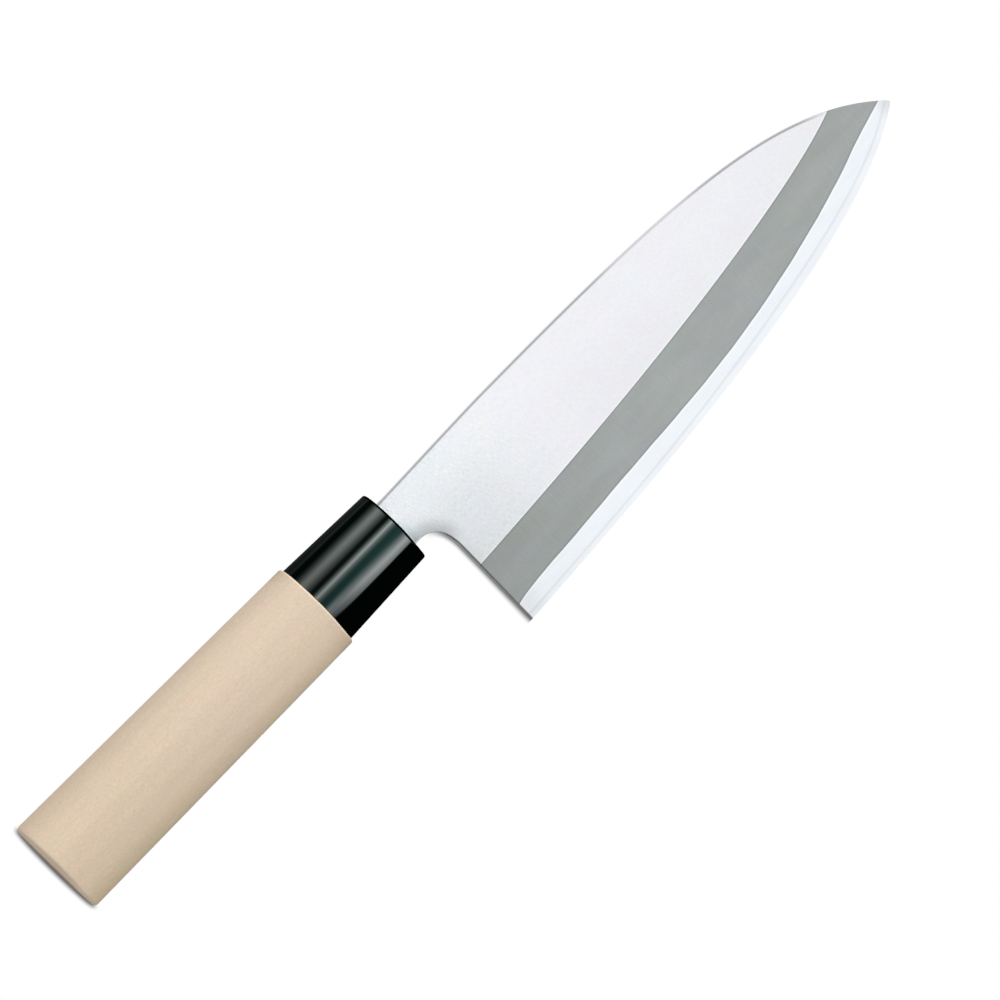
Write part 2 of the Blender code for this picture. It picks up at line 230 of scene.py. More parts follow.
# Its light by degrees, which run from straight out of the blade's side towards the spine
REFLECTOR_LOW = -100
REFLECTOR_HIGH = 100
REFLECTOR_BANDS = (
    (-65.4, (0.0, 0.0, 0.0)),
    (-63.8, (2.3, 2.5, 2.5)),
    (-57, (4.0, 4.4, 4.4)),
    (-51.5, (5.2, 5.6, 5.6)),
    (-46, (4.3, 4.7, 4.7)),
    (-41.7, (3.8, 4.1, 4.1)),
    (-36.7, (2.5, 3.1, 3.1)),
    (-32, (2.1, 2.6, 2.6)),
    (-27.5, (1.25, 1.8, 1.8)),
    (-22.6, (0.9, 1.4, 1.4)),
    (-19.3, (0.42, 0.90, 0.85)),
    (-15.5, (0.25, 0.70, 0.62)),
    (-10, (0.18, 0.56, 0.50)),
    (-4.2, (0.28, 0.66, 0.60)),
    (0, (0.95, 1.4, 1.3)),
    (4, (2.4, 2.8, 2.7)),
    (8, (5.6, 6.3, 6.1)),
    (11, (2.7, 3.1, 2.9)),
    (14.3, (0.85, 1.1, 1.0)),
    (17, (0.12, 0.2, 0.18)),
    (20.5, (0.0, 0.03, 0.02)),
    (24, (0.15, 0.22, 0.20)),
    (32, (1.3, 1.5, 1.4)),
    (37.2, (2.5, 2.7, 2.5)),
    (42.3, (3.0, 3.2, 3.0)),
    (45.6, (2.4, 2.6, 2.4)),
    (50.5, (1.0, 1.2, 1.1)),
    (57, (0.2, 0.27, 0.24)),
    (62.4, (0.0, 0.02, 0.01)),
    (72, (0.0, 0.02, 0.01)),
    (78, (0.17, 0.20, 0.19)),
    (85, (0.06, 0.08, 0.07)),
)

# The card: a pale sheet before the collar that only gloss sees, so that the neck stays bright
CARD_GAP = 0.05 * MM
CARD_MARGIN = 0.3 * MM
CARD_LIFT = 0.4 * MM
CARD_LEVEL = 0.9

# The floor, and the narrow shadow painted on it beside the heel and the butt
FLOOR_SIZE = 60.0
FLOOR_COLOUR = (0.10, 0.10, 0.10, 1)
SHADOW_LIFT = 0.03 * MM
SHADOW_INSIDE = 8.0 * MM
SHADOW_OUTSIDE = 1.7 * MM
SHADOW_OVERLAP = 0.2 * MM  # how far inside the outline the shadow is darkest
SHADOW_STEPS = 40
SHADOW_EVERY = 20
SHADOW_DEPTH = 0.90

# Where the shadows' hidden sides head for, and how wide the heel's is at its low and its high end
HEEL_SHADOW_AIM = (76.0 * MM, 0.0)
BUTT_SHADOW_AIM = (-100.0 * MM, 0.0)
SHADOW_WIDE_Y = -40.0 * MM
SHADOW_WIDE = 1.12
SHADOW_NARROW_Y = -24.0 * MM
SHADOW_NARROW = 0.94


def polar(length, degrees):
    angle = math.radians(degrees)
    return np.array((length * math.cos(angle), length * math.sin(angle)))


def between(start, end, share):
    return start + (end - start) * share


def stretch(start, start_pull, end_pull, end, steps=CURVE_STEPS):
    """The points along a Bezier curve, with both of its ends."""
    t = np.linspace(0, 1, steps + 1)[:, None]
    start, end = np.array(start), np.array(end)
    near = 3 * (1 - t) ** 2 * t * (start + start_pull)
    far = 3 * (1 - t) * t**2 * (end + end_pull)
    return (1 - t) ** 3 * start + near + far + t**3 * end


def straight(start, end):
    third = np.subtract(end, start) / 3
    return stretch(start, third, -third, end, SHORT_STEPS)


def tip_ends():
    """Where the tip's small round meets the spine and where it meets the edge."""
    half = math.radians(SPINE_TIP_ANGLE + EDGE_TIP_ANGLE) / 2
    lean = math.radians(SPINE_TIP_ANGLE - EDGE_TIP_ANGLE) / 2
    apex_x = BLADE_LENGTH - TIP_ROUND + TIP_ROUND / math.sin(half) * math.cos(lean)
    apex = np.array((apex_x, -TIP_DROP))
    reach = TIP_ROUND / math.tan(half)
    return apex - polar(reach, -SPINE_TIP_ANGLE), apex - polar(reach, EDGE_TIP_ANGLE)


def tip_curve():
    turn = math.radians(180 - SPINE_TIP_ANGLE - EDGE_TIP_ANGLE)
    pull = TIP_ROUND * 4 / 3 * math.tan(turn / 4)
    pulls = polar(pull, -SPINE_TIP_ANGLE), polar(pull, EDGE_TIP_ANGLE)
    start, end = tip_ends()
    return stretch(start, *pulls, end, SHORT_STEPS)


def edge_curve():
    heel_pull = polar(EDGE_PULL_HEEL, EDGE_HEEL_ANGLE)
    tip_pull = -polar(EDGE_PULL_TIP, EDGE_TIP_ANGLE)
    return stretch((0, -EDGE_DROP), heel_pull, tip_pull, tip_ends()[1])


def spine_curve():
    neck = np.array((SHOULDER, NECK_TOP))
    high = np.array((SPINE_HIGH_X, SPINE_HIGH))
    rear = stretch(neck, (high - neck) / 3, (-SPINE_PULL_REAR, 0), high, NECK_STEPS)
    tip_pull = -polar(SPINE_PULL_TIP, -SPINE_TIP_ANGLE)
    front = stretch(high, (SPINE_PULL_FRONT, 0), tip_pull, tip_ends()[0])
    return np.concatenate((rear, front[1:]))


def choil_curve():
    """The hollow under the neck, from the heel's face back to the neck's straight part."""
    start = (CHOIL_FRONT, -CHOIL_DROP)
    end = (SHOULDER + NECK_STRAIGHT, -NECK_BOTTOM)
    return stretch(start, (0, CHOIL_PULL_UP), (CHOIL_PULL_BACK, 0), end, NECK_STEPS)


EDGE = edge_curve()
TIP = tip_curve()
CHOIL = choil_curve()
NOSE = int(TIP[:, 0].argmax())
UPPER = np.concatenate((spine_curve(), TIP[1 : NOSE + 1]))
LOWER = np.concatenate((EDGE, TIP[NOSE:-1][::-1]))

HEEL_TANGENT = polar(1, EDGE_HEEL_ANGLE)
TIP_TANGENT = polar(1, EDGE_TIP_ANGLE)
GRIND_LINE = np.concatenate(
    (
        straight(EDGE[0] - OVERRUN * HEEL_TANGENT, EDGE[0])[:-1],
        EDGE,
        straight(EDGE[-1], EDGE[-1] + OVERRUN * TIP_TANGENT)[1:],
    )
)
HEEL_FACE = straight((0, -EDGE_DROP), (CHOIL_FRONT, -CHOIL_DROP))
NECK_UNDER = straight(CHOIL[-1], (SHOULDER, -NECK_BOTTOM))
OUTLINE = np.concatenate((HEEL_FACE, CHOIL[1:], NECK_UNDER[1:], UPPER))
HEEL_SIDE = np.concatenate((HEEL_FACE, CHOIL[1:]))


def nearest(line, points):
    """Each point's distance from a line of close points, and the X of the place beside it."""
    tree = KDTree(len(line))
    for i, (x, y) in enumerate(line):
        tree.insert((x, y, 0), i)
    tree.balance()
    found = np.array([tree.find((x, y, 0))[1] for x, y in points])
    tangent = np.gradient(line, axis=0)
    tangent /= np.linalg.norm(tangent, axis=1)[:, None]
    step = points - line[found]
    across = np.abs(step[:, 0] * tangent[found, 1] - step[:, 1] * tangent[found, 0])
    along = (step * tangent[found]).sum(axis=1)
    return across, line[found, 0] + along * tangent[found, 0]


def grind_width(x):
    return between(GRIND_HEEL, GRIND_TIP, np.clip(x / BLADE_LENGTH, 0, 1) ** GRIND_FALL)


def line_width(x):
    """How far the core shows above the edge."""
    x = np.maximum(x, 0)
    along = np.maximum(x, LINE_WAVE_START) - LINE_WAVE_PEAK
    width = LINE_MIDDLE + LINE_WAVE * np.cos(math.tau * along / LINE_WAVE_LENGTH)
    width -= LINE_HEEL_DIP * np.exp(-x / LINE_HEEL_REACH)
    past = np.clip((x - LINE_TIP_START) / (BLADE_LENGTH - LINE_TIP_START), 0, LINE_TIP_PAST)
    width -= LINE_TIP_DIP * past**LINE_TIP_POWER
    for height, length, phase in RIPPLES:
        width += height * np.sin(math.tau * x / length + phase)
    return width


def bevel_width(x):
    return BEVEL_HEEL + BEVEL_SWELL * np.exp(-(((x - BEVEL_SWELL_X) / BEVEL_SWELL_REACH) ** 2))


def measures(x, y):
    """What the steel's finish and its painted shade depend on at each point, all as distances in
    metres.
    """
    points = np.stack((x, y), axis=1)
    depth, foot = nearest(GRIND_LINE, points)
    return {
        "foot": foot,
        "from_edge": depth,
        "from_bevel": depth - bevel_width(foot),
        "from_line": depth - line_width(foot),
        "from_ridge": depth - grind_width(foot),
        "from_outline": nearest(OUTLINE, points)[0],
        "from_spine": nearest(UPPER, points)[0],
        "from_heel": nearest(HEEL_SIDE, points)[0],
        "from_choil": np.where(x < CHOIL_REACH, nearest(CHOIL, points)[0], CHOIL_REACH),
    }


def heights(x, y):
    """How high the right side's skin and the core's top stand over the blade's middle plane."""
    m = measures(x, y)
    slope = (STOCK - EDGE_BEVEL_THICKNESS) / 2 / (grind_width(m["foot"]) - EDGE_BEVEL)

    def ground(depth):
        return EDGE_BEVEL_THICKNESS / 2 + slope * (depth - EDGE_BEVEL)

    bevel = bevel_width(m["foot"])
    small = EDGE_THICKNESS / 2 + (ground(bevel) - EDGE_THICKNESS / 2) * m["from_edge"] / bevel
    grind = np.where(m["from_bevel"] < 0, small, ground(m["from_edge"]))
    rim = np.clip(ARRIS_ROUND - m["from_outline"], 0, ARRIS_ROUND)
    flat = STOCK / 2 - ARRIS_ROUND + np.sqrt(ARRIS_ROUND**2 - rim**2)
    return np.minimum(grind, flat), ground(line_width(m["foot"]))


def offset_row(x, width):
    """The height at x of a line that runs beside the edge, a width away from it."""
    tangent = np.gradient(GRIND_LINE, axis=0)
    tangent /= np.linalg.norm(tangent, axis=1)[:, None]
    inward = np.stack((-tangent[:, 1], tangent[:, 0]), axis=1)
    row = GRIND_LINE + inward * width(GRIND_LINE[:, 0])[:, None]
    return np.interp(x, row[:, 0], row[:, 1])


ARRIS_TURNS = np.linspace(0, math.pi / 2, ARRIS_STEPS + 1)
ARRIS_ROWS = [*(ARRIS_ROUND * (1 - np.cos(ARRIS_TURNS))), ARRIS_ROUND + SUPPORT]


def upper_rows(low, high):
    """Rows from the choil up to the spine, close together at both, where the corners are round."""
    rows = [low + rise for rise in ARRIS_ROWS]
    rows += [between(low, high, share) for share in UPPER_SHARES]
    rows += [high - rise for rise in reversed(ARRIS_ROWS)]
    return rows


def choil_share():
    """The part of the flat's height at the heel that lies under the choil's lower end."""
    x = CHOIL_FRONT
    ridge = offset_row(x, grind_width)
    high = np.interp(x, *UPPER.T)
    return (-CHOIL_DROP - ridge) / (high - ridge)


CHOIL_SHARE = choil_share()


def blade_rows(x):
    """The rows' heights at each x, from the edge up to the spine."""
    low = np.interp(x, *LOWER.T)
    high = np.interp(x, *UPPER.T)
    bevel = offset_row(x, bevel_width)
    line = np.minimum(offset_row(x, line_width), high)
    ridge = offset_row(x, grind_width)
    choil = between(ridge, high, CHOIL_SHARE)
    rows = [between(low, bevel, share) for share in BEVEL_SHARES]
    rows += [between(bevel, line, share) for share in CORE_SHARES]
    above = [between(line, ridge, share) for share in GROUND_SHARES]
    above += [between(ridge, choil, share) for share in HEEL_SHARES]
    above += upper_rows(choil, high)
    rows += [np.maximum(row, line) for row in above]
    for k in reversed(range(len(rows) - 1)):
        rows[k] = np.minimum(rows[k], rows[k + 1])
    return np.maximum(np.array(rows), low)


def heel_lean(x, y):
    """How far the rows near the heel lean forward with its sloping face."""
    share = np.clip((y + EDGE_DROP) / (EDGE_DROP - CHOIL_DROP), 0, 1)
    return CHOIL_FRONT * share * np.clip(1 - x / LEAN_END, 0, 1)


def line_end():
    """Where the core's line runs out over the spine."""
    x = np.linspace(LINE_END_LOW, BLADE_LENGTH, LINE_END_STEPS)
    inside = offset_row(x, line_width) < np.interp(x, *UPPER.T)
    return x[inside].max()


LINE_END = line_end()


def blade_grid():
    """The plan of the steel as columns of rows, from the tang's tip to the blade's tip."""
    nose = TIP[NOSE, 0]
    even = np.arange(COLUMN, FINE_START, COLUMN)
    fine = np.arange(FINE_START, FINE_END, FINE_COLUMN)
    last = nose - (nose - FINE_END) * np.cos(np.linspace(0, math.pi / 2, TIP_COLUMNS)) ** 2
    x = np.sort(np.concatenate((ARRIS_ROWS, even, fine, last, [LINE_END])))
    y = blade_rows(x)
    for _ in range(LEAN_ROUNDS):
        leaned = x + heel_lean(x, y)
        y = np.array([blade_rows(row)[k] for k, row in enumerate(leaned)])
    rear_rows = len(upper_rows(0, 1))
    missing = np.full(len(y) - rear_rows, np.nan)

    columns = []
    half_root, half_end = TANG_ROOT / 2, TANG_END / 2
    neck = np.array(upper_rows(-NECK_BOTTOM, NECK_TOP))
    shares = (neck + NECK_BOTTOM) / (NECK_TOP + NECK_BOTTOM)
    for at, half in ((TANG_TIP, half_end), (SHOULDER, half_root)):
        columns.append((np.full(rear_rows, at), between(-half, half, shares)))
    under = np.concatenate((CHOIL[::CHOIL_EVERY], [NECK_UNDER[-1]]))[1:][::-1]
    for at, low in under:
        rows = upper_rows(low, np.interp(at, *UPPER.T))
        columns.append((np.full(rear_rows, at), np.array(rows)))
    columns = [(np.concatenate((missing, a)), np.concatenate((missing, b))) for a, b in columns]
    columns += list(zip(leaned.T, y.T))
    return np.array([a for a, _ in columns]), np.array([b for _, b in columns])


def mesh_of(name, bm):
    mesh = bpy.data.meshes.new(name)
    bm.to_mesh(mesh)
    bm.free()
    return mesh


def skin(name, x, y, top, bottom):
    """A closed solid between two skins over the same plan, with walls round its border."""
    bm = bmesh.new()
    known = ~np.isnan(x)
    upper, lower = {}, {}
    for i, k in zip(*np.nonzero(known)):
        upper[i, k] = bm.verts.new((x[i, k], y[i, k], top[i, k]))
        lower[i, k] = bm.verts.new((x[i, k], y[i, k], bottom[i, k]))
    borders = {}
    for i in range(x.shape[0] - 1):
        for k in range(x.shape[1] - 1):
            ring = [(i, k), (i + 1, k), (i + 1, k + 1), (i, k + 1)]
            if not all(known[spot] for spot in ring):
                continue
            bm.faces.new([upper[spot] for spot in ring])
            bm.faces.new([lower[spot] for spot in reversed(ring)])
            for pair in zip(ring, ring[1:] + ring[:1]):
                key = tuple(sorted(pair))
                borders[key] = None if key in borders else pair
    for pair in borders.values():
        if pair:
            a, b = pair
            bm.faces.new((upper[b], upper[a], lower[a], lower[b]))
    bmesh.ops.remove_doubles(bm, verts=bm.verts, dist=WELD)
    loose = [vert for vert in bm.verts if not vert.link_faces]
    bmesh.ops.delete(bm, geom=loose, context="VERTS")
    bmesh.ops.recalc_face_normals(bm, faces=bm.faces)
    return mesh_of(name, bm)


def steel(name, node, x, y, top, bottom, materials):
    """One of the three steels, with what its finish and painted shade depend on kept at its points.
    """
    mesh = skin(name, x, y, top, bottom)
    spots = np.array([vertex.co for vertex in mesh.vertices])
    m = measures(spots[:, 0], spots[:, 1])
    for key in ("from_bevel", "from_line", "from_ridge", "from_spine", "from_heel", "from_choil"):
        layer = mesh.attributes.new(key, "FLOAT", "POINT")
        layer.data.foreach_set("value", m[key].astype(np.float32))
    lay(name, mesh, node, materials)
    on_crease = (np.abs(m["from_ridge"]) < CREASE) | (np.abs(m["from_bevel"]) < CREASE)
    sharp = mesh.attributes["sharp_edge"]
    for edge, mark in zip(mesh.edges, sharp.data):
        if all(on_crease[i] for i in edge.vertices):
            mark.value = True
    if len(materials) > 1:
        for face in mesh.polygons:
            inside = np.mean([m["from_ridge"][i] for i in face.vertices]) < 0
            face.material_index = 1 if inside else 0


def make_blade():
    x, y = blade_grid()
    known = ~np.isnan(x)
    top = np.full(x.shape, np.nan)
    core = np.full(x.shape, np.nan)
    top[known], core[known] = heights(x[known], y[known])
    top[:TANG_COLUMNS] = TANG_THICKNESS / 2
    core_top = np.minimum(top, core)
    steel("blade_core", "core_steel", x, y, core_top, -core_top, [bright_steel()])

    covered = x.copy()
    covered[:, :LINE_ROW] = np.nan
    covered[x[:, -1] > LINE_END + WELD] = np.nan
    outer = np.maximum(top, core)
    finishes = [satin_steel(), hazed_steel()]
    for side, sign in (("right", 1), ("left", -1)):
        name, node = "blade_" + side, "cladding_" + side
        steel(name, node, covered, y, sign * outer, sign * core, finishes)


def handle_section(width, depth):
    """The handle's section as (y, z) points: an oval whose lower right is pressed to a flat."""
    slope = math.radians(FLAT_SLOPE)
    face_y, face_z = -math.sin(slope), math.cos(slope)
    reach = math.hypot(width / 2 * face_y, depth / 2 * face_z)
    turn = math.tau * np.arange(RING_POINTS) / RING_POINTS
    y = width / 2 * np.cos(turn)
    z = depth / 2 * np.sin(turn)
    over = y * face_y + z * face_z - (reach - FLAT_CUT)
    press = (over + np.hypot(over, RIDGE_ROUND)) / 2
    return y - press * face_y, z - press * face_z


def ring(x, y, z):
    return np.stack((np.full(len(y), x), y, z), axis=1)


def collar_ring(x, margin):
    share = (COLLAR_FRONT - x) / COLLAR_LENGTH
    width = between(COLLAR_FRONT_WIDTH, COLLAR_REAR_WIDTH, share) - 2 * margin
    depth = between(COLLAR_FRONT_DEPTH, COLLAR_REAR_DEPTH, share) - 2 * margin
    return ring(x, *handle_section(width, depth))


def wood_ring(x, margin):
    share = (COLLAR_REAR - x) / WOOD_LENGTH
    width = between(WOOD_FRONT_WIDTH, BUTT_WIDTH, share) - 2 * margin
    depth = between(WOOD_FRONT_DEPTH, BUTT_DEPTH, share) - 2 * margin
    y, z = handle_section(width, depth)
    return ring(x, y + BUTT_RISE * share, z)


def slot_ring(x, half_height, half_width):
    """A rectangle round the axis with as many points as the handle's section."""
    turn = math.tau * np.arange(RING_POINTS) / RING_POINTS
    up, out = np.cos(turn), np.sin(turn)
    to_end = half_height / np.maximum(abs(up), NEAR_ZERO)
    to_side = half_width / np.maximum(abs(out), NEAR_ZERO)
    reach = np.minimum(to_end, to_side)
    return ring(x, up * reach, out * reach)


def rounded_end(section, x, back, radius):
    """Rings round an end, from its flat face at x to its full section, a radius back along X."""
    rings = []
    for i in range(ROUND_STEPS + 1):
        turn = math.pi / 2 * i / ROUND_STEPS
        margin = radius * (1 - math.sin(turn))
        rings.append(section(x + back * radius * (1 - math.cos(turn)), margin))
    return rings


def bridge(bm, first, second):
    """Faces between two loops of as many points."""
    for i in range(len(first)):
        bm.faces.new((first[i - 1], first[i], second[i], second[i - 1]))


def loft(name, rings, closed):
    """A skin over rings of as many points each. Closed means that the last ring meets the first."""
    bm = bmesh.new()
    loops = [[bm.verts.new(point) for point in one] for one in rings]
    pairs = list(zip(loops, loops[1:]))
    if closed:
        pairs.append((loops[-1], loops[0]))
    for first, second in pairs:
        bridge(bm, first, second)
    if not closed:
        bm.faces.new(loops[0])
        bm.faces.new(loops[-1])
    bmesh.ops.recalc_face_normals(bm, faces=bm.faces)
    return mesh_of(name, bm)


def make_collar():
    half_height = TANG_ROOT / 2 + CLEARANCE
    half_width = TANG_THICKNESS / 2 + CLEARANCE
    inside = COLLAR_FRONT - COLLAR_WALL
    rings = [slot_ring(x, half_height, half_width) for x in (inside, COLLAR_FRONT)]
    rings += rounded_end(collar_ring, COLLAR_FRONT, -1, COLLAR_ROUND)
    rings.append(collar_ring(COLLAR_FRONT - FRONT_SUPPORT * COLLAR_ROUND, 0))
    rings.append(collar_ring(between(COLLAR_FRONT, COLLAR_REAR, 0.5), 0))
    rings.append(collar_ring(COLLAR_REAR + COLLAR_REAR_SUPPORT, 0))
    rings += reversed(rounded_end(collar_ring, COLLAR_REAR, 1, COLLAR_REAR_ROUND))
    rings += [collar_ring(COLLAR_REAR, COLLAR_WALL), collar_ring(inside, COLLAR_WALL)]
    mesh = loft("collar_black", rings, closed=True)
    lay("collar_black", mesh, "collar", [black_collar()])


def make_wood():
    margin = 2 * CLEARANCE + BEDDING
    hole_width = TANG_THICKNESS / 2 + margin
    front_share = (SHOULDER - TENON_FRONT) / TANG_LENGTH
    front_height = between(TANG_ROOT, TANG_END, front_share) / 2 + margin
    rings = [
        slot_ring(TANG_TIP - margin, TANG_END / 2 + margin, hole_width),
        slot_ring(TENON_FRONT, front_height, hole_width),
        collar_ring(TENON_FRONT, COLLAR_WALL + CLEARANCE),
        collar_ring(COLLAR_REAR, COLLAR_WALL + CLEARANCE),
    ]
    rings += rounded_end(wood_ring, COLLAR_REAR, -1, WOOD_FRONT_ROUND)
    front = COLLAR_REAR - FRONT_SUPPORT * WOOD_FRONT_ROUND
    rear = BUTT_END + BUTT_SUPPORT * BUTT_ROUND
    rings += [wood_ring(x, 0) for x in np.linspace(front, rear, WOOD_RINGS)]
    rings += reversed(rounded_end(wood_ring, BUTT_END, 1, BUTT_ROUND))
    mesh = loft("handle_wood", rings, closed=False)
    lay("handle_wood", mesh, "handle", [pale_wood()])


def lay(name, mesh, node, materials):
    """Lays a piece where the knife lies, smooth but for its corners, and hides the CAD part it
    replaces.
    """
    mesh.shade_smooth()
    mesh.set_sharp_from_angle(angle=math.radians(SHARP_ANGLE))
    for material in materials:
        mesh.materials.append(material)
    keep_place(mesh)
    mesh.transform(LYING)
    piece = bpy.data.objects.new(name, mesh)
    bpy.context.scene.collection.objects.link(piece)
    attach(piece, ROOT)
    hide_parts(node)


def keep_place(mesh):
    """Keeps each point's place in the knife's own frame, which the materials are laid out in."""
    layer = mesh.attributes.new("place", "FLOAT_VECTOR", "POINT")
    spots = np.zeros(3 * len(mesh.vertices), np.float32)
    mesh.vertices.foreach_get("co", spots)
    layer.data.foreach_set("vector", spots)


def lying_frame():
    """The knife's own frame as it lies, from the flat of the blade and the butt."""
    mounts = {mount["name"]: mount for mount in frame["record"]["mounts"]}
    out = Vector(mounts["right_flat"]["axis"]).normalized()
    forward = -Vector(mounts["butt"]["axis"])
    forward = (forward - out * forward.dot(out)).normalized()
    up = out.cross(forward)
    turn = Matrix((forward, up, out)).transposed()
    butt = Vector((BUTT_END, BUTT_RISE, 0))
    return Matrix.Translation(Vector(mounts["butt"]["pos_m"]) - turn @ butt) @ turn.to_4x4()


# Small helpers for the materials
def fill(tree, made, sockets):
    """Fills a node's sockets with numbers or with other nodes' outputs."""
    for key, value in sockets.items():
        if isinstance(value, bpy.types.NodeSocket):
            tree.links.new(value, made.inputs[key])
        else:
            made.inputs[key].default_value = value


def node(tree, kind, sockets=None, **options):
    made = tree.nodes.new("ShaderNode" + kind)
    for key, value in options.items():
        setattr(made, key, value)
    fill(tree, made, sockets or {})
    return made


def new_material(name):
    material = bpy.data.materials.new(name)
    material.use_nodes = True
    tree = material.node_tree
    return material, tree, tree.nodes["Principled BSDF"]


def maths(tree, operation, *values):
    return node(tree, "Math", dict(enumerate(values)), operation=operation).outputs[0]


def vectors(tree, operation, first, second):
    return node(tree, "VectorMath", {0: first, 1: second}, operation=operation).outputs[0]


def noise(tree, size, detail=2.0, roughness=0.5, output="Fac", shift=0.0, world=False):
    """Noise with patches of about a size along X, Y and Z, of the knife's frame or the world's."""
    if world:
        place = node(tree, "TexCoord").outputs["Object"]
    else:
        place = node(tree, "Attribute", attribute_name="place").outputs["Vector"]
    scale = tuple(1 / length for length in size)
    vector = node(tree, "Mapping", {"Vector": place, "Scale": scale, "Location": (shift,) * 3})
    sockets = {"Vector": vector.outputs[0], "Scale": 1.0, "Detail": detail, "Roughness": roughness}
    return node(tree, "TexNoise", sockets).outputs[output]


def spread(tree, value, low, high, start=0.3, end=0.7):
    """Maps a value from start and end to low and high, and holds it there outside of them."""
    sockets = {"Value": value, "From Min": start, "From Max": end, "To Min": low, "To Max": high}
    return node(tree, "MapRange", sockets, interpolation_type="SMOOTHSTEP").outputs["Result"]


def measure(tree, name):
    return node(tree, "Attribute", attribute_name=name).outputs["Fac"]


def near_line(tree, value, centre, half_width):
    """One on a line and none away from it, with soft sides."""
    away = maths(tree, "ABSOLUTE", maths(tree, "SUBTRACT", value, centre))
    return spread(tree, away, 1.0, 0.0, 0.3 * half_width, half_width)


def shaded(tree, amount, *shares):
    """One plus an amount, as far as all of the shares go."""
    return maths(tree, "MULTIPLY_ADD", times(tree, *shares), amount, 1.0)


def band(tree, value, centre, half_width, height):
    """One away from a line, and one plus the height on it, with soft sides."""
    return shaded(tree, height, near_line(tree, value, centre, half_width))


def part_of_place(tree, axis):
    """How far along one of the knife's own axes a point is."""
    place = node(tree, "Attribute", attribute_name="place").outputs["Vector"]
    return node(tree, "SeparateXYZ", {0: place}).outputs[axis]


def ripple(tree, value, strength):
    """One plus the strength times how far a noise is off its middle."""
    return maths(tree, "MULTIPLY_ADD", maths(tree, "SUBTRACT", value, 0.5), strength, 1.0)


def times(tree, *values):
    """The product of several numbers."""
    product = values[0]
    for value in values[1:]:
        product = maths(tree, "MULTIPLY", product, value)
    return product


def tinted(tree, colour, amount, size, shift=0.0, world=False):
    """A colour that drifts a little in hue, in patches of a given size."""
    drift = noise(tree, size, output="Color", shift=shift, world=world)
    scale = vectors(tree, "MULTIPLY", drift, (2 * amount,) * 3)
    factor = vectors(tree, "ADD", scale, (1 - amount,) * 3)
    return vectors(tree, "MULTIPLY", factor, colour)


def scaled(tree, colour, factor):
    return node(tree, "VectorMath", {0: colour, "Scale": factor}, operation="SCALE").outputs[0]


def bump(tree, height, distance):
    sockets = {"Height": height, "Distance": distance, "Strength": 1.0}
    return node(tree, "Bump", sockets).outputs["Normal"]


def join(tree, shader, **sockets):
    """Fills the shader's sockets, which are named with underscores for their spaces."""
    fill(tree, shader, {key.replace("_", " "): value for key, value in sockets.items()})


def show_only(tree, shader, output):
    """Shows an output by itself, without the usual shader."""
    tree.links.new(output, tree.nodes["Material Output"].inputs["Surface"])
    tree.nodes.remove(shader)


def glow(tree, shader, colour, strength):
    """Leaves a material nothing but light of its own."""
    light = node(tree, "Emission", {"Color": colour, "Strength": strength})
    show_only(tree, shader, light.outputs[0])


def heel_painted_shade(tree, amount):
    """Painted shade on the heel's face and the choil's front, which show as a dark line."""
    side = spread(tree, measure(tree, "from_heel"), 1.0, 0.0, 0.34 * MM, 0.70 * MM)
    low = spread(tree, part_of_place(tree, "Y"), 1.0, 0.0, -12.5 * MM, -7.5 * MM)
    return shaded(tree, amount, side, low)


